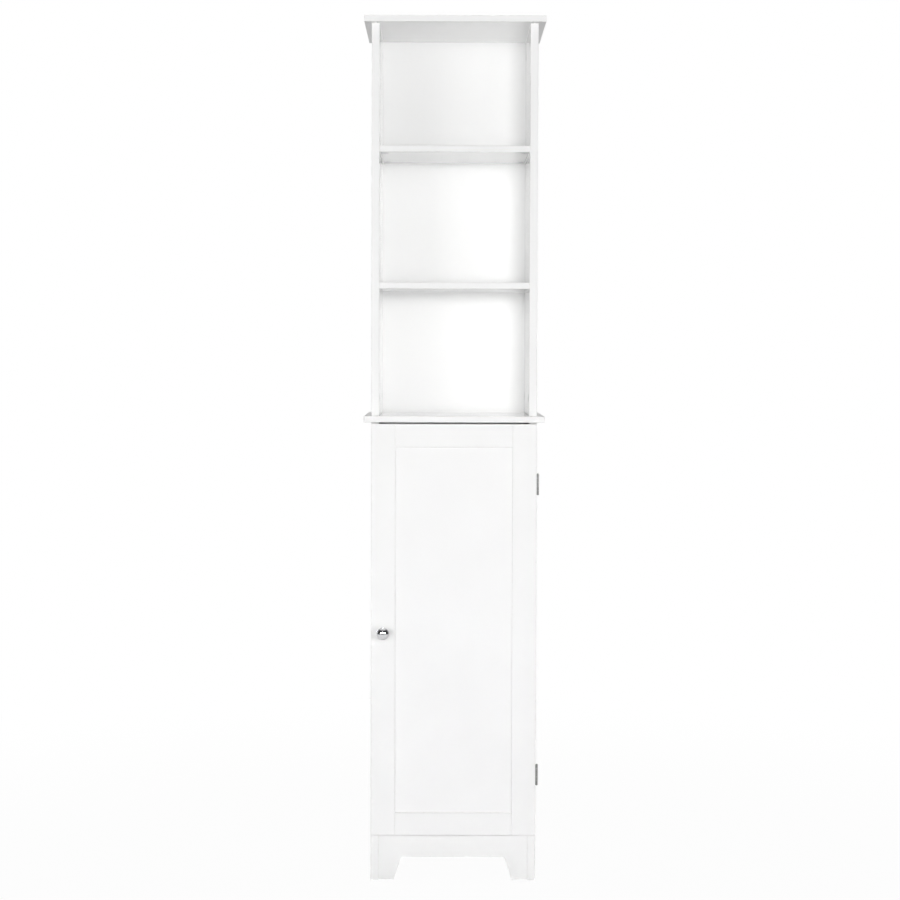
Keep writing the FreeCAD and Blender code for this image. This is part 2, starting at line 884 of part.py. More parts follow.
stiles = {}
for name, start, inner in (("left", door_left, "right"), ("right", opening_x, "left")):
    lengths = (size.stile_width, size.door_thickness, door_height)
    stile = Board(f"door_stile_{name}", (start, door_front, door_low), lengths)
    stile.ease(("front", "bottom"), radius=size.door_foot_round)
    stile.ease(("front", "left"), ("front", "right"), ("front", "top"), ("rear", name))
    groove_start = ("0", door_groove_front, door_low)
    groove_stop = ("0", door_groove_rear, door_top)
    stile.groove(inner, groove_start, groove_stop, size.panel_groove_depth)
    stiles[name] = stile


rail_start = f"(-{opening_x} - {tongue_length})"
rail_length = f"(2 * {opening_x} + 2 * {tongue_length})"


def rail_outline():
    """A rail from above: full thickness between the stiles, a tongue at each end."""
    shoulder = tongue_length
    far_shoulder = f"({rail_length} - {shoulder})"
    front = size.panel_recess
    back = f"({size.panel_recess} + {size.panel_thickness})"
    return [
        ("0", front),
        (shoulder, front),
        (shoulder, "0"),
        (far_shoulder, "0"),
        (far_shoulder, front),
        (rail_length, front),
        (rail_length, back),
        (far_shoulder, back),
        (far_shoulder, size.door_thickness),
        (shoulder, size.door_thickness),
        (shoulder, back),
        ("0", back),
    ]


for name, low, inner, foot_round in (
    ("top", f"({door_top} - {size.rail_width})", "bottom", size.edge_round),
    ("bottom", door_low, "top", size.door_foot_round),
):
    rail = Board(
        f"door_rail_{name}",
        (rail_start, door_front, low),
        (rail_length, size.door_thickness, size.rail_width),
        outline=rail_outline(),
    )
    rail.ease(("front", "top"))
    rail.ease(("front", "bottom"), radius=foot_round)
    groove_start = (rail_start, door_groove_front, "0")
    groove_stop = (f"(-{rail_start})", door_groove_rear, "0")
    rail.groove(inner, groove_start, groove_stop, size.panel_groove_depth)

door_panel = Board(
    "door_panel",
    (rail_start, tongue_front, f"({door_low} + {size.rail_width} - {tongue_length})"),
    (rail_length, size.panel_thickness, f"({door_height} - 2 * {size.rail_width} + 2 * {tongue_length})"),
)

# Knob on the left stile, and its screw from behind

knob_x = f"({door_left} + {size.stile_width} / 2)"
knob_z = f"({door_low} + {door_height} / 2 - {size.knob_drop})"


def make_knob():
    """A mushroom knob: foot, stem, flared cup and domed face. Its own z points at the user."""
    body = new_body("door_knob")
    sketch = new_sketch(body, "Profile", "XZ")
    bore = half(wider(size.knob_screw_diameter, size.fit_play))
    foot = half(size.knob_foot_diameter)
    stem = half(size.knob_stem_diameter)
    rim = half(size.knob_diameter)
    rim_top = f"({size.knob_length} - {size.knob_dome_height})"
    rim_low = f"({rim_top} - {size.knob_rim_height})"
    cup_low = f"({rim_low} - {size.knob_cup_height})"
    corners = [
        ("0", size.knob_screw_sink),
        (bore, size.knob_screw_sink),
        (bore, "0"),
        (foot, "0"),
        (foot, size.knob_foot_height),
        (stem, size.knob_foot_height),
        (stem, cup_low),
        (rim, rim_low),
        (rim, rim_top),
    ]
    crown = ("0", size.knob_length)
    points = [Vector(value(across), value(up), 0) for across, up in corners + [crown]]
    for start, end in zip(points, points[1:-1]):
        sketch.addGeometry(Part.LineSegment(start, end), False)
    dome_height = value(size.knob_dome_height)
    dome_radius = (value(rim) ** 2 + dome_height ** 2) / (2 * dome_height)
    centre = points[-1] - Vector(0, dome_radius, 0)
    circle = Part.Circle(centre, UNIT["+z"], dome_radius)
    start, end = (circle.parameter(point) for point in points[-2:])
    dome = sketch.addGeometry(Part.ArcOfCircle(circle, start, end), False)
    axis = sketch.addGeometry(Part.LineSegment(points[-1], points[0]), False)
    for index in range(axis + 1):
        sketch.addConstraint(Sketcher.Constraint("Coincident", index, 2, (index + 1) % (axis + 1), 1))
    for index, (across, up) in enumerate(corners):
        fix_point(sketch, index, 1, across, up)
    fix_point(sketch, axis, 1, *crown)
    sketch.addConstraint(Sketcher.Constraint("PointOnObject", dome, 3, -2))
    revolve(body, sketch)

    for level in (rim_low, rim_top):
        dress(body, "Fillet", ring(rim, "z", level), Radius=size.knob_rim_round)
    dress(body, "Fillet", ring(stem, "z", cup_low), Radius=size.knob_neck_round)
    dress(body, "Fillet", ring(stem, "z", size.knob_foot_height), Radius=size.knob_foot_round)
    return body


knob_screw = headed(
    "knob_screw",
    half(size.knob_screw_head_diameter),
    size.knob_screw_head_height,
    half(size.knob_screw_diameter),
    f"({size.door_thickness} + {size.knob_screw_sink} - {size.knob_screw_end_play})",
)
screw_spot = (knob_x, door_back, knob_z)
stiles["left"].hole("rear", screw_spot, wider(size.knob_screw_diameter, size.fit_play), size.door_thickness)
single(make_knob(), (knob_x, door_front, knob_z), pointed("-y"))
single(knob_screw, moved(screw_spot, "+y", size.knob_screw_head_height), pointed("-y"))

# Butt hinges between the right side and the right stile

knuckle_radius = half(size.knuckle_diameter)
axis_x = f"({outer_x} + {knuckle_radius})"
axis_y = f"({side_front} - {size.door_gap} / 2)"
leaf_space = f"({size.door_gap} / 2 - {size.leaf_thickness})"
knuckle_pitch = f"({size.hinge_height} / {HINGE_KNUCKLES})"
screw_levels = [f"({size.hinge_height} / 2 {sign} {size.leaf_screw_spacing} / 2)" for sign in "+-"]


def knuckle_end(index, own, upper):
    """The lower or upper end of a knuckle span. Each leaf keeps half a gap off the other."""
    edge = index + 1 if upper else index
    if edge in (0, HINGE_KNUCKLES):
        return f"({edge} * {knuckle_pitch})"
    sign = "-" if (index in own) == upper else "+"
    return f"({edge} * {knuckle_pitch} {sign} {size.knuckle_gap} / 2)"


def make_leaf(label, own):
    """A hinge leaf with its own knuckles, notched round those of the other leaf.

    Its own z runs up the pin, its plate reaches along its own x and lies on the +y side.
    """
    body = new_body(label)
    notch = f"({knuckle_radius} + {size.leaf_notch_gap})"
    comb = []
    for index in range(HINGE_KNUCKLES):
        edge = "0" if index in own else notch
        comb.append((edge, knuckle_end(index, own, upper=False)))
        comb.append((edge, knuckle_end(index, own, upper=True)))
    outline = comb + [(size.leaf_width, size.hinge_height), (size.leaf_width, "0")]
    plate = new_sketch(body, "Plate", "XZ", f"(-{leaf_space})")
    draw_outline(plate, outline)
    pad(body, plate, size.leaf_thickness, reverse=True)
    for index in own:
        low = knuckle_end(index, own, upper=False)
        barrel = new_sketch(body, "Knuckle", "XY", low)
        draw_circle(barrel, "0", "0", size.knuckle_diameter)
        pad(body, barrel, f"({knuckle_end(index, own, upper=True)} - {low})")
    bore = new_sketch(body, "PinBore", "XY")
    draw_circle(bore, "0", "0", wider(size.hinge_pin_diameter, size.hinge_pin_play))
    pocket(body, bore, size.hinge_height, reverse=True)
    hole = wider(size.flat_screw_diameter, size.fit_play)
    screws = new_sketch(body, "ScrewHoles", "XZ", f"(-{leaf_space})")
    for level in screw_levels:
        draw_circle(screws, size.leaf_screw_inset, level, hole)
    pocket(body, screws, size.leaf_thickness)
    countersink(body, hole, leaf_space)
    return body


def countersink(body, hole, level):
    """Chamfer the mouths of holes that run along y, at one level of it."""
    dress(body, "Chamfer", ring(half(hole), "y", level), Size=size.flat_screw_flare)


def make_hinge_pin(label):
    radius = half(size.hinge_pin_diameter)
    head = half(size.hinge_pin_head_diameter)
    low = size.hinge_pin_head_height
    high = f"({low} + {size.hinge_height})"
    end = f"({high} + {size.hinge_pin_head_height})"
    outline = [
        ("0", "0"),
        (head, "0"),
        (head, low),
        (radius, low),
        (radius, high),
        (head, high),
        (head, end),
        ("0", end),
    ]
    return turned(label, outline)


frame_screws = []
door_screws = []
hinge_centres = {
    "top": f"({door_top} - {size.hinge_distance})",
    "bottom": f"({door_low} + {size.hinge_distance})",
}
pilot_diameter = wider(size.flat_screw_diameter, size.fit_play)
pilot_depth = f"({size.flat_screw_length} - {size.leaf_thickness})"
screw_x = f"({axis_x} - {size.leaf_screw_inset})"
for name, centre in hinge_centres.items():
    low = f"({centre} - {size.hinge_height} / 2)"
    high = f"({centre} + {size.hinge_height} / 2)"
    half_turn_y = turned_to("-z", "-x")
    half_turn_z = turned_to("+z", "-x")
    single(make_leaf(f"hinge_{name}_frame_leaf", FRAME_KNUCKLES), (axis_x, axis_y, high), half_turn_y)
    single(make_leaf(f"hinge_{name}_door_leaf", DOOR_KNUCKLES), (axis_x, axis_y, low), half_turn_z)
    pin_start = f"({low} - {size.hinge_pin_head_height})"
    single(make_hinge_pin(f"hinge_{name}_pin"), (axis_x, axis_y, pin_start))
    for level in screw_levels:
        height = f"({low} + {level})"
        lower_sides["right"].hole("front", (screw_x, side_front, height), pilot_diameter, pilot_depth)
        stiles["right"].hole("rear", (screw_x, door_back, height), pilot_diameter, pilot_depth)
        frame_screws.append(((screw_x, f"({axis_y} + {leaf_space})", height), pointed("+y")))
        door_screws.append(((screw_x, f"({axis_y} - {leaf_space})", height), pointed("-y")))
copies("hinge_frame_screws", flat_screw_pattern, frame_screws)
copies("hinge_door_screws", flat_screw_pattern, door_screws)

# Magnetic catch on the left side, and the strike plate on the left stile

catch_z = f"({knob_z} + {size.catch_rise})"
catch_low = f"({catch_z} - {size.catch_length} / 2)"
housing_low = f"(({size.catch_length} - {size.catch_housing_length}) / 2)"
housing_high = f"({housing_low} + {size.catch_housing_length})"
magnet_x = f"(-{inner_x} + ({size.catch_flange} + {size.catch_housing_width}) / 2)"
magnet_low = f"({catch_z} - {size.magnet_length} / 2)"
magnet_high = f"({catch_z} + {size.magnet_length} / 2)"
stack_half = f"({size.magnet_thickness} / 2 + {size.pole_thickness})"
recess_half = f"({stack_half} + {size.fit_play})"

catch_case = Board(
    "catch_case",
    (f"(-{inner_x})", side_front, catch_low),
    (size.catch_housing_width, size.catch_depth, size.catch_length),
    plane="XZ",
    outline=[
        ("0", "0"),
        (size.catch_flange, "0"),
        (size.catch_flange, housing_low),
        (size.catch_housing_width, housing_low),
        (size.catch_housing_width, housing_high),
        (size.catch_flange, housing_high),
        (size.catch_flange, size.catch_length),
        ("0", size.catch_length),
    ],
)
catch_case.ease(("front", "right"), ("rear", "right"))
catch_case.groove(
    "front",
    (f"({magnet_x} - {recess_half})", "0", f"({magnet_low} - {size.fit_play})"),
    (f"({magnet_x} + {recess_half})", "0", f"({magnet_high} + {size.fit_play})"),
    size.magnet_depth,
)
Board(
    "catch_magnet",
    (f"({magnet_x} - {size.magnet_thickness} / 2)", side_front, magnet_low),
    (size.magnet_thickness, size.magnet_depth, size.magnet_length),
)
pole_lengths = (size.pole_thickness, f"({size.magnet_depth} + {size.pole_proud})", size.magnet_length)
pole_front = f"({side_front} - {size.pole_proud})"
for name, start in (
    ("outer", f"({magnet_x} - {stack_half})"),
    ("inner", f"({magnet_x} + {size.magnet_thickness} / 2)"),
):
    Board(f"catch_pole_plate_{name}", (start, pole_front, magnet_low), pole_lengths)

catch_screw_pattern = headed(
    "catch_screw_pattern",
    half(size.catch_screw_head_diameter),
    size.catch_screw_head_height,
    half(size.catch_screw_diameter),
    f"({size.catch_flange} + {size.catch_screw_sink})",
)
catch_screws = []
for level in (f"({catch_low} + {housing_low} / 2)", f"({catch_low} + {housing_high} + {housing_low} / 2)"):
    spot = (f"(-{inner_x})", f"({side_front} + {size.catch_depth} / 2)", level)
    hole_diameter = wider(size.catch_screw_diameter, size.fit_play)
    catch_case.hole("left", spot, hole_diameter, size.catch_flange)
    lower_sides["left"].hole("right", spot, hole_diameter, size.catch_screw_sink)
    head_top = moved(spot, "+x", f"({size.catch_flange} + {size.catch_screw_head_height})")
    catch_screws.append((head_top, pointed("-x")))
copies("catch_screws", catch_screw_pattern, catch_screws)

strike_plate = Board(
    "strike_plate",
    (f"({magnet_x} - {size.strike_width} / 2)", door_back, f"({catch_z} - {size.strike_length} / 2)"),
    (size.strike_width, size.strike_thickness, size.strike_length),
)
strike_spot = (magnet_x, door_back, catch_z)
strike_plate.hole("rear", strike_spot, pilot_diameter, size.strike_thickness)
strike_sink = f"({size.flat_screw_length} - {size.strike_thickness})"
stiles["left"].hole("rear", strike_spot, pilot_diameter, strike_sink)
single(make_flat_screw("strike_screw"), moved(strike_spot, "+y", size.strike_thickness), pointed("-y"))

# Drill every hole that the joints and fittings asked for

drilled = [top_board, middle_board, bottom_board, front_skirt, lower_back, catch_case, strike_plate]
drilled += upper_sides.values()
drilled += lower_sides.values()
drilled += fixed_shelves.values()
drilled += stiles.values()
for board in drilled:
    board.drill()
countersink(strike_plate.body, pilot_diameter, size.strike_thickness)

# Test every object, then write one file for each sub-part

doc.recompute()
for item in doc.Objects:
    if "Invalid" in item.State or "Error" in item.State:
        raise RuntimeError(f"{item.Label} did not recompute: {item.State}")
os.makedirs("parts", exist_ok=True)
for item in parts:
    if item.Shape.isNull() or not item.Shape.isValid():
        raise RuntimeError(f"{item.Label} has no valid shape")
for item in parts:
    item.Shape.exportStep(f"parts/{item.Label}.step")
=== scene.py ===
import json
import math

import bmesh
import bpy
from mathutils import Matrix, Vector


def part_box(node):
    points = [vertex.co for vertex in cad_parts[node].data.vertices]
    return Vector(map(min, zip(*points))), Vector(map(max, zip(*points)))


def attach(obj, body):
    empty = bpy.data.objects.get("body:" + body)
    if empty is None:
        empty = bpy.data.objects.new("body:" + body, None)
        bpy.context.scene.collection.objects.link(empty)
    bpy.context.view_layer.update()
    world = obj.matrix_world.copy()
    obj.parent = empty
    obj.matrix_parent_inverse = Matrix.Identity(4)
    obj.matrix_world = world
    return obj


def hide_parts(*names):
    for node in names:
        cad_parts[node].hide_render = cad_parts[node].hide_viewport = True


# A tall, narrow linen cabinet in satin white lacquer, with a chrome knob and nickel butt hinges.
# Lengths are metres in the frame of the solids: +X to the right, +Y to the wall, +Z up.

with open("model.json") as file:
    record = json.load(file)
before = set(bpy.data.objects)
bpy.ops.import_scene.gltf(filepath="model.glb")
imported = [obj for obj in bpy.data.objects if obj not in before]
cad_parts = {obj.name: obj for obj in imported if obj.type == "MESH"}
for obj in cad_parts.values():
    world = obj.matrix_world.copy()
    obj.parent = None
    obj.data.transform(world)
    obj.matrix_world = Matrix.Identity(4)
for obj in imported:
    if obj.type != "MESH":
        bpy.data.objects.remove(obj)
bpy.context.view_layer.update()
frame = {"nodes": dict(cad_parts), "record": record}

# Colours, as linear red, green and blue
LACQUER = (0.872, 0.872, 0.870)
LACQUER_SHADED = (0.857, 0.857, 0.855)
# Foil whites, partly painted light: whiter than the lacquer so that faces inside the bays look brighter
# than the fronts
FOIL_WHITE_PAINTED_LIGHT = (0.955, 0.955, 0.953)
FOIL_SHADED_PAINTED_LIGHT = (0.94, 0.94, 0.937)
BACKING_WHITE = (0.95, 0.95, 0.948)
BACKING_SHADED = (0.935, 0.935, 0.932)
LACQUER_RUBBED = (0.76, 0.74, 0.70)
BARE_FIBRE = (0.36, 0.25, 0.15)
DARK_FIBRE = (0.24, 0.16, 0.09)
BACKING_PRIMER = (0.80, 0.78, 0.73)
CHROME = (0.64, 0.64, 0.65)
CHROME_CLOUD = (0.56, 0.56, 0.57)
NICKEL = (0.27, 0.27, 0.265)
NICKEL_WORN = (0.36, 0.36, 0.35)
ZINC_PALE = (0.62, 0.63, 0.64)
ZINC_DULL = (0.44, 0.45, 0.47)
# Cam locks: a metal far darker than the zinc plate, so that the cams show as dark strokes under the
# shelves
DARKENED_CAM_PALE = (0.24, 0.24, 0.25)
DARKENED_CAM_DARK = (0.13, 0.13, 0.14)
STEEL_BRIGHT = (0.55, 0.55, 0.56)
STEEL_DARK = (0.38, 0.38, 0.39)
BEECH_LIGHT = (0.62, 0.43, 0.25)
BEECH_DARK = (0.45, 0.29, 0.15)
PLASTIC_WHITE = (0.84, 0.84, 0.82)
PLASTIC_SHADED = (0.78, 0.78, 0.75)
FERRITE = (0.045, 0.045, 0.05)
FERRITE_GREY = (0.10, 0.10, 0.105)
STUDIO_WHITE = (1.0, 1.0, 1.0, 1.0)

# Layers of noise in a pattern
LOW_DETAIL = 2.0
MEDIUM_DETAIL = 3.0
FINE_DETAIL = 4.0

# Sockets that carry the colours of a Mix node, and the factor of a Wave texture
MIX_FIRST = 6
MIX_SECOND = 7
MIX_RESULT = 2
WAVE_FACTOR = 1


class Shade:
    """A socket of a node tree, or its bare start. Sums on sockets add Math nodes."""

    def __init__(self, tree, socket=None):
        self.tree = tree
        self.socket = socket

    def node(self, kind, settings, inputs, output=0):
        """Add a node: its settings first, then the values or links of its sockets."""
        made = self.tree.nodes.new(kind)
        for name, setting in settings.items():
            setattr(made, name, setting)
        for key, given in inputs.items():
            if isinstance(given, Shade):
                self.tree.links.new(given.socket, made.inputs[key])
            else:
                made.inputs[key].default_value = given
        return Shade(self.tree, made.outputs[output] if made.outputs else None)

    def axes(self):
        """The x, y and z of this place or direction."""
        split = self.node("ShaderNodeSeparateXYZ", {}, {"Vector": self})
        return [Shade(self.tree, socket) for socket in split.socket.node.outputs]

    def math(self, operation, first, second):
        """A Math node on two sockets or numbers."""
        return self.node("ShaderNodeMath", {"operation": operation}, {0: first, 1: second})

    def __add__(self, other):
        return self.math("ADD", self, other)

    __radd__ = __add__

    def __sub__(self, other):
        return self.math("SUBTRACT", self, other)

    def __rsub__(self, other):
        return self.math("SUBTRACT", other, self)

    def __mul__(self, other):
        return self.math("MULTIPLY", self, other)

    __rmul__ = __mul__

    def __abs__(self):
        return self.node("ShaderNodeMath", {"operation": "ABSOLUTE"}, {0: self})

    def least(self, other):
        """The smaller of this value and another."""
        return self.math("MINIMUM", self, other)

    def most(self, other):
        """The larger of this value and another."""
        return self.math("MAXIMUM", self, other)

    def ramp(self, start, stop, low=0.0, high=1.0):
        """A smooth step from low to high as this value goes from start to stop."""
        settings = {"interpolation_type": "SMOOTHSTEP"}
        inputs = {"Value": self, "From Min": start, "From Max": stop, "To Min": low, "To Max": high}
        return self.node("ShaderNodeMapRange", settings, inputs)

    def blend(self, first, second):
        """A colour that goes from the first to the second as this value goes from 0 to 1."""
        sides = [side if isinstance(side, Shade) else (*side, 1.0) for side in (first, second)]
        inputs = {"Factor": self, MIX_FIRST: sides[0], MIX_SECOND: sides[1]}
        return self.node("ShaderNodeMix", {"data_type": "RGBA"}, inputs, output=MIX_RESULT)

    def noise(self, scale=1.0, detail=LOW_DETAIL):
        """Cloudy variation over this place, with its scale in clouds to the metre."""
        return self.node("ShaderNodeTexNoise", {}, {"Vector": self, "Scale": scale, "Detail": detail})

    def stretched(self, scales, origin=(0.0, 0.0, 0.0)):
        """This place measured from an origin and scaled along x, y and z."""
        shift = [-start * scale for start, scale in zip(origin, scales)]
        return self.node("ShaderNodeMapping", {}, {"Vector": self, "Scale": scales, "Location": shift})

    def bump(self, depth, strength=1.0):
        """A normal that treats this value as relief of some depth."""
        inputs = {"Height": self, "Distance": depth, "Strength": strength}
        return self.node("ShaderNodeBump", {}, inputs)


def new_finish(name):
    """A material, and the object place that its patterns start from."""
    material = bpy.data.materials.new(name)
    material.use_nodes = True
    material.node_tree.nodes.clear()
    start = Shade(material.node_tree)
    return material, start.node("ShaderNodeTexCoord", {}, {}, output="Object")


def close_finish(place, **sockets):
    """Join the sockets of a material to its surface."""
    inputs = {name.replace("_", " "): given for name, given in sockets.items()}
    surface = place.node("ShaderNodeBsdfPrincipled", {}, inputs)
    place.node("ShaderNodeOutputMaterial", {}, {"Surface": surface})


# Board finishes, with scales in clouds to the metre

PEEL_SCALE = 620.0
PEEL_DEPTH = 0.000022
CLOUD_SCALE = 7.0
CLOUD_CUT_SHARES = (0.3, 0.7)
SMEAR_SCALE = 38.0
FLECK_SCALE = 210.0
FIBRE_SCALE = 900.0
FIBRE_DEPTH = 0.00025
FIBRE_STRETCH_SHARES = (1.0, 1.0, 0.25)
FIBRE_RELIEF_SHARE = 0.12
RUB_WIDTH = 0.0016
PAINT_SKIN = 0.0006
FIBRE_START = 0.0009
FOIL_RIM = (0.0008, 0.0020)
# The overhangs of the top and middle boards keep the darker lacquer in place of foil: painted shade on
# them
OVERHANG_PAINTED_SHADE_RIM = (0.014, 0.029)
FOIL_TURN = 0.0005
RUB_CUT_SHARES = (0.46, 0.66)
RUB_STRENGTH_SHARE = 0.55
LACQUER_ROUGHNESS = 0.62
FOIL_ROUGHNESS = 0.06
FOIL_PEEL_SHARE = 0.02
FOIL_SMEAR_SHARE = 0.1
BACKING_ROUGHNESS = 0.27
BARE_ROUGHENING = 0.32
ROUGHNESS_SPREAD = 0.12
BACKING_REAR = (0.0004, 0.0012)
THIN_COAT_CUT_SHARES = (0.16, 0.46)
THIN_COAT_SHARE = 0.22

# Which large faces of a board have foil, whose whiter colour is partly painted light: both, or the one
# at the high or low end of its thickness
BOTH_FACES = 0
HIGH_FACE = 1
LOW_FACE = -1


def board_depths(place, low, high):
    """How far a point lies inside a board's box, along x, y and z."""
    depths = []
    for axis, start, end in zip(place.axes(), low, high):
        depths.append((end - start) / 2 - abs(axis - (start + end) / 2))
    return depths


def lacquered_board(node, foil=None, drilled_above=None):
    """Satin lacquer on fibreboard: rubbed along its edges, with bare fibre inside its holes.

    Foil, where a board has it, is the rim along x that stays lacquer, and the face that it covers.
    The foil face is a real foil and painted light too: it is whiter than the lacquer so that faces
    inside the bays look brighter, and the lacquer left on the top and middle boards' overhangs is
    painted shade.
    Where a board has an arch, its cuts are bare only above the height that drilled_above gives.
    """
    low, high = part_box(node)
    material, place = new_finish(f"lacquer_{node}")
    depths = board_depths(place, low, high)
    across, back, up = depths
    under_face = across.least(back).least(up)
    edge_distance = across.least(back).most(across.most(back).least(up))

    clouds = place.noise(CLOUD_SCALE, MEDIUM_DETAIL).ramp(*CLOUD_CUT_SHARES)
    white = clouds.blend(LACQUER_SHADED, LACQUER)
    coat_roughness = LACQUER_ROUGHNESS
    peel = place.noise(PEEL_SCALE)
    smears = place.noise(SMEAR_SCALE, FINE_DETAIL)
    if foil:
        side_rim, covered = foil
        lengths = list(high - low)
        thickness_axis = lengths.index(min(lengths))
        inside = [depth.ramp(*rim) for depth, rim in zip(depths, (side_rim, FOIL_RIM, FOIL_RIM))]
        del inside[thickness_axis]
        face = inside[0] * inside[1]
        if covered != BOTH_FACES:
            along = place.axes()[thickness_axis]
            from_middle = covered * (along - (low + high)[thickness_axis] / 2)
            face = face * from_middle.ramp(0.0, FOIL_TURN)
        # Foil face: whiter than the lacquer, painted light that brightens the faces inside the bays
        white = face.blend(white, clouds.blend(FOIL_SHADED_PAINTED_LIGHT, FOIL_WHITE_PAINTED_LIGHT))
        coat_roughness = LACQUER_ROUGHNESS - (LACQUER_ROUGHNESS - FOIL_ROUGHNESS) * face
        peel = peel * (1.0 - (1.0 - FOIL_PEEL_SHARE) * face)
        smears = smears * (1.0 - (1.0 - FOIL_SMEAR_SHARE) * face)
    flecks = place.noise(FLECK_SCALE)
    near_edge = edge_distance.ramp(0.0, RUB_WIDTH, 1.0, 0.0)
    rub = near_edge * flecks.ramp(*RUB_CUT_SHARES) * RUB_STRENGTH_SHARE
    bare = under_face.ramp(PAINT_SKIN, FIBRE_START)
    if drilled_above is not None:
        _, _, height = place.axes()
        bare = bare * height.ramp(drilled_above, drilled_above + RUB_WIDTH)
    fibres = place.noise(FIBRE_SCALE, FINE_DETAIL)

    paint = rub.blend(white, LACQUER_RUBBED)
    colour = bare.blend(paint, fibres.blend(DARK_FIBRE, BARE_FIBRE))
    roughness = coat_roughness + ROUGHNESS_SPREAD * smears + bare * BARE_ROUGHENING
    close_finish(place, Base_Color=colour, Roughness=roughness, Normal=peel.bump(PEEL_DEPTH))
    return material


def primed_backing(node):
    """Thin hardboard: white foil in front, a thin coat of primer over the fibres behind."""
    _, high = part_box(node)
    material, place = new_finish(f"backing_{node}")
    _, back, _ = place.axes()
    behind = (high.y - back).ramp(*BACKING_REAR, 1.0, 0.0)
    clouds = place.noise(CLOUD_SCALE, FINE_DETAIL)
    fibres = place.stretched(FIBRE_STRETCH_SHARES).noise(FIBRE_SCALE, FINE_DETAIL)
    front_colour = clouds.ramp(*CLOUD_CUT_SHARES).blend(BACKING_SHADED, BACKING_WHITE)
    thin_coat = (fibres * clouds).ramp(*THIN_COAT_CUT_SHARES, 0.0, THIN_COAT_SHARE)
    rear_colour = thin_coat.blend(BACKING_PRIMER, BARE_FIBRE)
    colour = behind.blend(front_colour, rear_colour)
    roughness = BACKING_ROUGHNESS + ROUGHNESS_SPREAD * fibres + behind * ROUGHNESS_SPREAD
    relief = fibres.bump(FIBRE_DEPTH, FIBRE_RELIEF_SHARE)
    close_finish(place, Base_Color=colour, Roughness=roughness, Normal=relief)
    return material


# Metal, wood and plastic finishes

POLISH_SCALE = 900.0
POLISH_DEPTH = 0.000002
POLISH_RELIEF_SHARE = 0.3
POLISH_WAVER = 0.4
CHROME_ROUGHNESS = 0.035
CHROME_HAZE_SPREAD = 0.05
CHROME_RING_SPREAD = 0.012
HAZE_SCALE = 260.0
HAZE_CUT_SHARES = (0.45, 0.8)
GRAIN_SHARE = 0.6
BRUSH_SCALES = (5200.0, 5200.0, 260.0)
BRUSH_DEPTH = 0.000012
SPANGLE_SCALE = 420.0
SPANGLE_DEPTH = 0.00002
SCRATCH_SCALES = (900.0, 5200.0, 900.0)
SCRATCH_DEPTH = 0.00001
GRAIN_SCALES = (2200.0, 2200.0, 160.0)
GRAIN_DEPTH = 0.00006
MOULD_SCALE = 2600.0
MOULD_DEPTH = 0.00004
SINTER_SCALE = 1800.0
SINTER_DEPTH = 0.00008


def polished_chrome(centre):
    """Chrome with faint haze and the rings of its polishing, round the knob's axis."""
    material, place = new_finish("knob_chrome")
    around = place.stretched((1.0, 1.0, 1.0), origin=centre)
    rings = around.node(
        "ShaderNodeTexWave",
        {"wave_type": "RINGS", "rings_direction": "Y"},
        {"Vector": around, "Scale": POLISH_SCALE, "Distortion": POLISH_WAVER},
        output=WAVE_FACTOR,
    )
    haze = place.noise(HAZE_SCALE, FINE_DETAIL)
    colour = haze.ramp(*HAZE_CUT_SHARES).blend(CHROME, CHROME_CLOUD)
    roughness = CHROME_ROUGHNESS + CHROME_HAZE_SPREAD * haze + CHROME_RING_SPREAD * rings
    relief = rings.bump(POLISH_DEPTH, POLISH_RELIEF_SHARE)
    close_finish(place, Base_Color=colour, Metallic=1.0, Roughness=roughness, Normal=relief)
    return material


def metal(name, dull, bright, scales, depth, *, roughness, spread):
    """A metal whose colour, gloss and relief follow one stretched grain."""
    material, place = new_finish(name)
    grain = place.stretched(scales).noise(detail=MEDIUM_DETAIL)
    blotches = place.noise(HAZE_SCALE, MEDIUM_DETAIL)
    mixed = grain * GRAIN_SHARE + blotches * (1.0 - GRAIN_SHARE)
    colour = mixed.ramp(*CLOUD_CUT_SHARES).blend(dull, bright)
    rough = roughness + spread * grain + spread * blotches
    close_finish(place, Base_Color=colour, Metallic=1.0, Roughness=rough, Normal=grain.bump(depth))
    return material


def solid_stuff(name, dark, light, scales, depth, *, roughness, spread):
    """Wood, plastic or ferrite: a grain in colour, gloss and relief."""
    material, place = new_finish(name)
    grain = place.stretched(scales).noise(detail=FINE_DETAIL)
    colour = grain.ramp(*CLOUD_CUT_SHARES).blend(dark, light)
    rough = roughness + spread * grain
    close_finish(place, Base_Color=colour, Roughness=rough, Normal=grain.bump(depth))
    return material


def even(scale):
    """The same scale along x, y and z."""
    return (scale, scale, scale)


knob_low, knob_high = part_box("door_knob")
knob_centre = (knob_low + knob_high) / 2
chrome = polished_chrome(knob_centre)
brushed = (BRUSH_SCALES, BRUSH_DEPTH)
nickel = metal("hinge_nickel", NICKEL, NICKEL_WORN, *brushed, roughness=0.22, spread=0.12)
spangle = (even(SPANGLE_SCALE), SPANGLE_DEPTH)
zinc = metal("zinc_plate", ZINC_DULL, ZINC_PALE, *spangle, roughness=0.26, spread=0.16)
darkened_cam_metal = metal("cam_darkened", DARKENED_CAM_DARK, DARKENED_CAM_PALE, *spangle, roughness=0.42, spread=0.16)
scratches = (SCRATCH_SCALES, SCRATCH_DEPTH)
plate_steel = metal("plate_steel", STEEL_DARK, STEEL_BRIGHT, *scratches, roughness=0.24, spread=0.14)
wood_grain = (GRAIN_SCALES, GRAIN_DEPTH)
beech = solid_stuff("dowel_beech", BEECH_DARK, BEECH_LIGHT, *wood_grain, roughness=0.55, spread=0.2)
moulded = (even(MOULD_SCALE), MOULD_DEPTH)
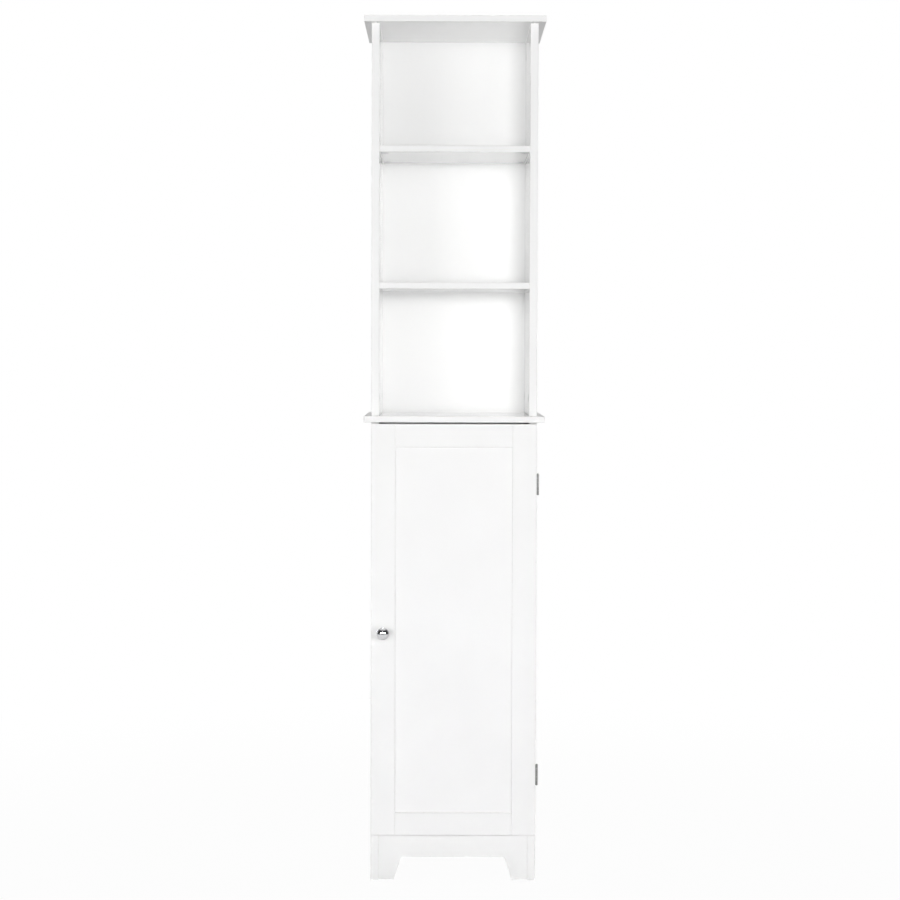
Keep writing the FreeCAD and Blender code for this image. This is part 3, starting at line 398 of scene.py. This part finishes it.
plastic = solid_stuff(
    "catch_plastic",
    PLASTIC_SHADED,
    PLASTIC_WHITE,
    *moulded,
    roughness=0.38,
    spread=0.14,
)
sintered = (even(SINTER_SCALE), SINTER_DEPTH)
ferrite = solid_stuff("ferrite", FERRITE, FERRITE_GREY, *sintered, roughness=0.6, spread=0.25)

SLOT_FINISHES = {
    "knob_chrome": chrome,
    "hinge_steel": nickel,
    "zinc": zinc,
    "plate_steel": plate_steel,
    "dowel_wood": beech,
    "white_plastic": plastic,
    "magnet": ferrite,
}
# Cam locks, drawn in the darker metal in place of the zinc of their slot
CAM_LOCKS = ("cam_locks_upper", "cam_locks_shelves", "cam_locks_lower")
ARCHED_BOARDS = ("lower_side_left", "lower_side_right", "front_skirt")
# Boards with foil faces, whiter as painted light; the lacquer rims left on the top and middle boards'
# overhangs are painted shade
FOIL_PAINTED_LIGHT_BOARDS = {
    "top_board": (OVERHANG_PAINTED_SHADE_RIM, LOW_FACE),
    "middle_board": (OVERHANG_PAINTED_SHADE_RIM, BOTH_FACES),
    "upper_side_left": (FOIL_RIM, HIGH_FACE),
    "upper_side_right": (FOIL_RIM, LOW_FACE),
    "upper_shelf_high": (FOIL_RIM, BOTH_FACES),
    "upper_shelf_low": (FOIL_RIM, BOTH_FACES),
}
ARCH_TOP = 0.046

node_slots = {row["node"]: row["material_slot"] for row in frame["record"]["subparts"]}
for node, slot in node_slots.items():
    if slot == "painted_board":
        arch_top = ARCH_TOP if node in ARCHED_BOARDS else None
        finish = lacquered_board(node, FOIL_PAINTED_LIGHT_BOARDS.get(node), arch_top)
    elif slot == "painted_backing":
        finish = primed_backing(node)
    else:
        finish = darkened_cam_metal if node in CAM_LOCKS else SLOT_FINISHES[slot]
    for holder in frame["nodes"][node].material_slots:
        holder.material = finish

# Turned and recessed pieces that the solids leave plain

TURN_STEPS = 72
SMALL_TURN_STEPS = 32
ROUND_SEGMENTS = 6
ROUND_PROFILE_SHARE = 0.5
NEIGHBOUR_MATERIAL = -1
AXIS = Vector((0.0, 0.0, 1.0))
QUARTER_TURN = math.radians(90)
MATRIX_ROWS = 4
POINTS_FORWARD = Matrix.Rotation(QUARTER_TURN, MATRIX_ROWS, "X")
POINTS_BACK = Matrix.Rotation(-QUARTER_TURN, MATRIX_ROWS, "X")
POINTS_RIGHT = Matrix.Rotation(QUARTER_TURN, MATRIX_ROWS, "Y")
POINTS_UP = Matrix.Identity(MATRIX_ROWS)
WELD = 1e-7
RING_REACH = 1e-5
CREASE = math.radians(32)


def wire(bm, profile):
    """A chain of edges through pairs of radius and height."""
    verts = [bm.verts.new((radius, 0.0, height)) for radius, height in profile]
    for first, second in zip(verts, verts[1:]):
        bm.edges.new((first, second))
    return verts


def turn(bm, steps):
    """Turn everything once round its own z, and close it."""
    geometry = bm.verts[:] + bm.edges[:]
    bmesh.ops.spin(
        bm,
        geom=geometry,
        cent=(0.0, 0.0, 0.0),
        axis=AXIS,
        angle=math.tau,
        steps=steps,
        use_merge=True,
    )
    bmesh.ops.remove_doubles(bm, verts=bm.verts[:], dist=WELD)
    bmesh.ops.recalc_face_normals(bm, faces=bm.faces[:])


def round_ring(bm, radius, height, size):
    """Round the ring of edges at one radius and height."""

    def on_ring(vert):
        off_axis = math.hypot(vert.co.x, vert.co.y)
        return abs(off_axis - radius) < RING_REACH and abs(vert.co.z - height) < RING_REACH

    ring = [edge for edge in bm.edges if all(on_ring(vert) for vert in edge.verts)]
    bmesh.ops.bevel(
        bm,
        geom=ring,
        offset=size,
        offset_type="OFFSET",
        segments=ROUND_SEGMENTS,
        profile=ROUND_PROFILE_SHARE,
        affect="EDGES",
        material=NEIGHBOUR_MATERIAL,
    )


def smooth_mesh(bm, name):
    """A mesh from a bmesh, smooth but for its sharp edges."""
    for face in bm.faces:
        face.smooth = True
    for edge in bm.edges:
        edge.smooth = edge.calc_face_angle(0.0) < CREASE
    mesh = bpy.data.meshes.new(name)
    bm.to_mesh(mesh)
    bm.free()
    return mesh


def add_piece(name, mesh, finish, body, slot, *nodes):
    """Show a mesh in place of some nodes, on the body that carries them."""
    piece = bpy.data.objects.new(name, mesh)
    bpy.context.scene.collection.objects.link(piece)
    mesh.materials.append(finish)
    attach(piece, body)
    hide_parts(*nodes)


# Knob: foot, stem, flared cup, rim and domed face

KNOB_FOOT_RADIUS = 0.007
KNOB_FOOT_HEIGHT = 0.003
KNOB_STEM_RADIUS = 0.0045
KNOB_DOME_HEIGHT = 0.006
KNOB_RIM_HEIGHT = 0.002
KNOB_CUP_HEIGHT = 0.005
KNOB_RIM_ROUND = 0.0008
KNOB_NECK_ROUND = 0.003
KNOB_FOOT_ROUND = 0.0015
KNOB_FOOT_EDGE_ROUND = 0.0007
DOME_STEPS = 14


def knob_mesh():
    """The knob, turned from its foot up and set on the door with its face to the front."""
    length = knob_high.y - knob_low.y
    rim = (knob_high.x - knob_low.x) / 2
    rim_top = length - KNOB_DOME_HEIGHT
    rim_low = rim_top - KNOB_RIM_HEIGHT
    cup_low = rim_low - KNOB_CUP_HEIGHT
    dome_radius = (rim ** 2 + KNOB_DOME_HEIGHT ** 2) / (2 * KNOB_DOME_HEIGHT)
    bm = bmesh.new()
    profile = [
        (0.0, 0.0),
        (KNOB_FOOT_RADIUS, 0.0),
        (KNOB_FOOT_RADIUS, KNOB_FOOT_HEIGHT),
        (KNOB_STEM_RADIUS, KNOB_FOOT_HEIGHT),
        (KNOB_STEM_RADIUS, cup_low),
        (rim, rim_low),
        (rim, rim_top),
    ]
    end = wire(bm, profile)[-1]
    bmesh.ops.spin(
        bm,
        geom=[end],
        cent=(0.0, 0.0, length - dome_radius),
        axis=(0.0, -1.0, 0.0),
        angle=math.asin(rim / dome_radius),
        steps=DOME_STEPS,
    )
    turn(bm, TURN_STEPS)
    round_ring(bm, rim, rim_low, KNOB_RIM_ROUND)
    round_ring(bm, rim, rim_top, KNOB_RIM_ROUND)
    round_ring(bm, KNOB_STEM_RADIUS, cup_low, KNOB_NECK_ROUND)
    round_ring(bm, KNOB_STEM_RADIUS, KNOB_FOOT_HEIGHT, KNOB_FOOT_ROUND)
    round_ring(bm, KNOB_FOOT_RADIUS, KNOB_FOOT_HEIGHT, KNOB_FOOT_EDGE_ROUND)
    seat = Vector((knob_centre.x, knob_high.y, knob_centre.z))
    bm.transform(Matrix.Translation(seat) @ POINTS_FORWARD)
    return smooth_mesh(bm, "knob")


add_piece("knob", knob_mesh(), chrome, "door", "knob_chrome", "door_knob")

# Screws with cross recesses, and hinge pins with domed heads

CROSS_LENGTH_SHARE = 0.62
CROSS_WIDTH_SHARE = 0.13
CROSS_DEPTH_SHARE = 0.8
HEAD_ROUND_SHARE = 0.45


def cross_cut(mesh, head_radius, depth):
    """Sink a cross recess into the head that a mesh has at its own z of zero."""
    cutter = bmesh.new()
    long_arm = 2 * head_radius * CROSS_LENGTH_SHARE
    short_arm = 2 * head_radius * CROSS_WIDTH_SHARE
    for size_x, size_y in ((long_arm, short_arm), (short_arm, long_arm)):
        size = Matrix.Diagonal((size_x, size_y, 2 * depth, 1.0))
        bmesh.ops.create_cube(cutter, size=1.0, matrix=size)
    cutter_object = bpy.data.objects.new("cross", bpy.data.meshes.new("cross"))
    cutter.to_mesh(cutter_object.data)
    cutter.free()
    blank = bpy.data.objects.new("blank", mesh)
    for item in (cutter_object, blank):
        bpy.context.scene.collection.objects.link(item)
    cut = blank.modifiers.new("cross", "BOOLEAN")
    cut.operation = "DIFFERENCE"
    cut.solver = "EXACT"
    cut.use_self = True
    cut.object = cutter_object
    bpy.context.view_layer.update()
    evaluated = blank.evaluated_get(bpy.context.evaluated_depsgraph_get())
    recessed = bpy.data.meshes.new_from_object(evaluated)
    for item in (cutter_object, blank):
        bpy.data.objects.remove(item)
    return recessed


def flat_screw_mesh(radius, flare, length):
    """A countersunk screw. Its own z runs from its tip up to its head's face at zero."""
    bm = bmesh.new()
    profile = [(0.0, -length), (radius, -length), (radius, -flare), (radius + flare, 0.0), (0.0, 0.0)]
    wire(bm, profile)
    turn(bm, SMALL_TURN_STEPS)
    return cross_cut(smooth_mesh(bm, "flat_screw"), radius + flare, flare * CROSS_DEPTH_SHARE)


def pan_screw_mesh(head_radius, head_height, radius, length):
    """A round-headed screw. Its own z runs from its tip up to its head's top at zero."""
    bm = bmesh.new()
    profile = [
        (0.0, -head_height - length),
        (radius, -head_height - length),
        (radius, -head_height),
        (head_radius, -head_height),
        (head_radius, 0.0),
        (0.0, 0.0),
    ]
    wire(bm, profile)
    turn(bm, SMALL_TURN_STEPS)
    round_ring(bm, head_radius, 0.0, head_height * HEAD_ROUND_SHARE)
    return cross_cut(smooth_mesh(bm, "pan_screw"), head_radius, head_height * CROSS_DEPTH_SHARE)


def headed_pin_mesh(head_radius, head_height, radius, length):
    """A hinge pin with a domed head at each end. Its own z starts at its lower end."""
    bm = bmesh.new()
    top = 2 * head_height + length
    profile = [
        (0.0, 0.0),
        (head_radius, 0.0),
        (head_radius, head_height),
        (radius, head_height),
        (radius, top - head_height),
        (head_radius, top - head_height),
        (head_radius, top),
        (0.0, top),
    ]
    wire(bm, profile)
    turn(bm, SMALL_TURN_STEPS)
    for level in (0.0, top):
        round_ring(bm, head_radius, level, head_height * 2 * HEAD_ROUND_SHARE)
    return smooth_mesh(bm, "hinge_pin")


def copies_mesh(name, pattern, spots, turned):
    """One mesh of equal pieces, a copy of a pattern at each spot."""
    bm = bmesh.new()
    for spot in spots:
        known = set(bm.verts)
        bm.from_mesh(pattern)
        fresh = [vert for vert in bm.verts if vert not in known]
        bmesh.ops.transform(bm, matrix=Matrix.Translation(spot) @ turned, verts=fresh)
    return smooth_mesh(bm, name)


def rear_middle(node):
    """The middle of the rear face of a node's box."""
    low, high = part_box(node)
    return Vector(((low.x + high.x) / 2, high.y, (low.z + high.z) / 2))


FLAT_SCREW_RADIUS = 0.0014
FLAT_SCREW_FLARE = 0.001
FLAT_SCREW_LENGTH = 0.011
LEAF_SCREW_SPACING = 0.024
HINGE_ENDS = ("top", "bottom")
LEAF_SCREWS = {
    "frame": {"body": "cabinet", "turned": POINTS_FORWARD},
    "door": {"body": "door", "turned": POINTS_BACK},
}

flat_screw = flat_screw_mesh(FLAT_SCREW_RADIUS, FLAT_SCREW_FLARE, FLAT_SCREW_LENGTH)
for leaf, setting in LEAF_SCREWS.items():
    node = f"hinge_{leaf}_screws"
    low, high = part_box(node)
    face = low.y if setting["turned"] is POINTS_FORWARD else high.y
    spots = []
    for end in HINGE_ENDS:
        leaf_low, leaf_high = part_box(f"hinge_{end}_{leaf}_leaf")
        middle = (leaf_low.z + leaf_high.z) / 2
        for side in (-1, 1):
            level = middle + side * LEAF_SCREW_SPACING / 2
            spots.append(Vector(((low.x + high.x) / 2, face, level)))
    mesh = copies_mesh(node, flat_screw, spots, setting["turned"])
    add_piece(f"{node}_crossed", mesh, nickel, setting["body"], "hinge_steel", node)

mesh = copies_mesh("strike_screw", flat_screw, [rear_middle("strike_screw")], POINTS_BACK)
add_piece("strike_screw_crossed", mesh, zinc, "door", "zinc", "strike_screw")

KNOB_SCREW_RADIUS = 0.002
KNOB_SCREW_HEAD_HEIGHT = 0.002
CATCH_SCREW_RADIUS = 0.0015
CATCH_SCREW_HEAD_HEIGHT = 0.002

low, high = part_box("knob_screw")
pattern = pan_screw_mesh(
    (high.x - low.x) / 2,
    KNOB_SCREW_HEAD_HEIGHT,
    KNOB_SCREW_RADIUS,
    high.y - low.y - KNOB_SCREW_HEAD_HEIGHT,
)
mesh = copies_mesh("knob_screw", pattern, [rear_middle("knob_screw")], POINTS_BACK)
add_piece("knob_screw_crossed", mesh, zinc, "door", "zinc", "knob_screw")

low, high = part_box("catch_screws")
head_radius = (high.y - low.y) / 2
pattern = pan_screw_mesh(
    head_radius,
    CATCH_SCREW_HEAD_HEIGHT,
    CATCH_SCREW_RADIUS,
    high.x - low.x - CATCH_SCREW_HEAD_HEIGHT,
)
levels = (low.z + head_radius, high.z - head_radius)
spots = [Vector((high.x, (low.y + high.y) / 2, level)) for level in levels]
mesh = copies_mesh("catch_screws", pattern, spots, POINTS_RIGHT)
add_piece("catch_screws_crossed", mesh, zinc, "cabinet", "zinc", "catch_screws")

HINGE_PIN_RADIUS = 0.001
HINGE_PIN_HEAD_HEIGHT = 0.001

for end in HINGE_ENDS:
    node = f"hinge_{end}_pin"
    low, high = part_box(node)
    length = high.z - low.z - 2 * HINGE_PIN_HEAD_HEIGHT
    pattern = headed_pin_mesh((high.x - low.x) / 2, HINGE_PIN_HEAD_HEIGHT, HINGE_PIN_RADIUS, length)
    spot = Vector(((low.x + high.x) / 2, (low.y + high.y) / 2, low.z))
    mesh = copies_mesh(node, pattern, [spot], POINTS_UP)
    add_piece(f"{node}_domed", mesh, nickel, "cabinet", "hinge_steel", node)

# Floor

FLOOR_RADIUS = 2.4
FLOOR_SIDES = 96
FLOOR_DROP = 0.0003
FLOOR_GREY = (0.46, 0.46, 0.46)
FLOOR_CLOUDED = (0.44, 0.44, 0.44)
FLOOR_CLOUD_SCALE = 3.0
FLOOR_GLOW_SHARE = 0.97
GLOW_START = 0.5
GLOW_FULL = 2.2


def ray_kind(start, kind):
    """One for rays of a kind, such as Camera, and zero for the others."""
    return start.node("ShaderNodeLightPath", {}, {}, output=f"Is {kind} Ray")


def seen_rays(start):
    """One for rays that show a background: straight, mirrored or seen through."""
    straight = ray_kind(start, "Camera")
    mirrored = ray_kind(start, "Glossy")
    through = ray_kind(start, "Transmission")
    return straight.most(mirrored).most(through)


def studio_floor():
    """A floor that is grey to the light but looks white, with a trace of shadow near the cabinet."""
    bm = bmesh.new()
    bmesh.ops.create_circle(bm, cap_ends=True, segments=FLOOR_SIDES, radius=FLOOR_RADIUS)
    bm.transform(Matrix.Translation((0.0, 0.0, -FLOOR_DROP)))
    floor = bpy.data.objects.new("floor", smooth_mesh(bm, "floor"))
    bpy.context.scene.collection.objects.link(floor)
    material, place = new_finish("studio_floor")
    colour = place.noise(FLOOR_CLOUD_SCALE).blend(FLOOR_GREY, FLOOR_CLOUDED)
    matt = place.node("ShaderNodeBsdfDiffuse", {}, {"Color": colour})
    glow = place.node("ShaderNodeEmission", {}, {"Color": STUDIO_WHITE, "Strength": 1.0})
    distance = place.node("ShaderNodeVectorMath", {"operation": "LENGTH"}, {0: place}, output="Value")
    share = distance.ramp(GLOW_START, GLOW_FULL, FLOOR_GLOW_SHARE, 1.0)
    surface = place.node("ShaderNodeMixShader", {}, {0: seen_rays(place) * share, 1: matt, 2: glow})
    place.node("ShaderNodeOutputMaterial", {}, {"Surface": surface})
    floor.data.materials.append(material)


studio_floor()

# Studio light: four soft boxes in front, two behind, one above, and a white room with a dim upper front

ROOM_LEVEL = 0.47
DIM_SHARE = 0.94
DIM_RISE = (-0.03, 0.06)
MIRROR_DIM_RISE = (-0.26, -0.16)
DIM_END = (0.62, 0.90)
DIM_FRONT = (-0.15, 0.25)
BOX_SPREAD = math.radians(90)
NARROW_SPREAD = math.radians(36)
BEAM_SPREAD = math.radians(22)
FRONT_AIM = (0.0, 0.0, 1.05)
REAR_AIM = (0.0, 0.0, 0.85)
SKIRT_AIM = (0.0, -0.12, 0.1)
FLOOR_AIM = (0.0, 0.0, 0.0)
SOFT_BOXES = {
    "front": {"spot": (0.56, -6.42, 1.22), "aim": FRONT_AIM, "width": 1.0, "watts": 25.1},
    "front_left": {"spot": (-3.03, -5.70, 1.3), "aim": FRONT_AIM, "width": 1.6, "watts": 32.3},
    "front_right": {"spot": (3.22, -5.59, 1.3), "aim": FRONT_AIM, "width": 1.6, "watts": 21.6},
    "rear_left": {"spot": (-4.6, 4.6, 1.42), "aim": REAR_AIM, "width": 1.6, "watts": 28.0},
    "rear_right": {"spot": (4.6, 4.6, 1.42), "aim": REAR_AIM, "width": 1.6, "watts": 28.0},
    "front_high": {
        "spot": (0.0, -5.6, 2.4),
        "aim": SKIRT_AIM,
        "width": 0.6,
        "watts": 0.85,
        "spread": BEAM_SPREAD,
    },
    "above": {
        "spot": (0.0, 0.0, 4.2),
        "aim": FLOOR_AIM,
        "width": 0.5,
        "watts": 0.8,
        "spread": NARROW_SPREAD,
    },
}


def studio_room():
    """White where it is seen or mirrored, about half of that as light, with its upper front dim."""
    world = bpy.data.worlds.new("studio")
    world.use_nodes = True
    world.node_tree.nodes.clear()
    start = Shade(world.node_tree)
    direction = start.node("ShaderNodeTexCoord", {}, {}, output="Generated")
    _, back, up = direction.axes()
    straight = ray_kind(start, "Camera")
    mirrored = ray_kind(start, "Glossy")
    rise = up.ramp(*DIM_RISE).most(up.ramp(*MIRROR_DIM_RISE) * mirrored)
    band = rise * up.ramp(*DIM_END, 1.0, 0.0)
    shaded = band * (0.0 - back).ramp(*DIM_FRONT) * (1.0 - straight)
    level = ROOM_LEVEL + (1.0 - ROOM_LEVEL) * seen_rays(start)
    strength = level * (1.0 - DIM_SHARE * shaded)
    light = start.node("ShaderNodeBackground", {}, {"Color": STUDIO_WHITE, "Strength": strength})
    start.node("ShaderNodeOutputWorld", {}, {"Surface": light})
    bpy.context.scene.world = world


def soft_box(name, spot, aim, width, watts, spread=BOX_SPREAD):
    """A square area lamp at a spot, turned to its aim."""
    lamp = bpy.data.lights.new(name, "AREA")
    lamp.shape = "SQUARE"
    lamp.size = width
    lamp.energy = watts
    lamp.spread = spread
    holder = bpy.data.objects.new(name, lamp)
    holder.location = spot
    holder.rotation_euler = (Vector(aim) - Vector(spot)).to_track_quat("-Z", "Y").to_euler()
    bpy.context.scene.collection.objects.link(holder)


studio_room()
for name, setting in SOFT_BOXES.items():
    soft_box(name, **setting)

# Camera, at the photograph's viewpoint

IMAGE_SIDE_PIXELS = 900
FOCAL_PIXELS = 2240.0
SENSOR_MILLIMETRES = 36.0
CAMERA_SPOT = Vector((-0.0230, -4.4182, 1.0178))
CAMERA_YAW = math.radians(0.204)
CAMERA_PITCH = math.radians(2.453)
CAMERA_ROLL = math.radians(0.166)
CAMERA_NEAR = 0.05
CAMERA_FAR = 100.0


def photograph_camera():
    """A camera with the spot, turns and focal length that were fitted to the photograph."""
    lens = bpy.data.cameras.new("camera")
    lens.sensor_width = SENSOR_MILLIMETRES
    lens.lens = FOCAL_PIXELS * SENSOR_MILLIMETRES / IMAGE_SIDE_PIXELS
    lens.clip_start = CAMERA_NEAR
    lens.clip_end = CAMERA_FAR
    camera = bpy.data.objects.new("camera", lens)
    level = Vector((math.sin(CAMERA_YAW), math.cos(CAMERA_YAW), 0.0))
    forward = level * math.cos(CAMERA_PITCH) - AXIS * math.sin(CAMERA_PITCH)
    right = forward.cross(AXIS).normalized()
    up = right.cross(forward)
    rolled_right = right * math.cos(CAMERA_ROLL) + up * math.sin(CAMERA_ROLL)
    rolled_up = up * math.cos(CAMERA_ROLL) - right * math.sin(CAMERA_ROLL)
    turn_matrix = Matrix((rolled_right, rolled_up, -forward)).transposed()
    camera.matrix_world = Matrix.Translation(CAMERA_SPOT) @ turn_matrix.to_4x4()
    bpy.context.scene.collection.objects.link(camera)
    bpy.context.scene.camera = camera


photograph_camera()
bpy.context.scene.view_settings.view_transform = "Standard"

bpy.context.view_layer.update()
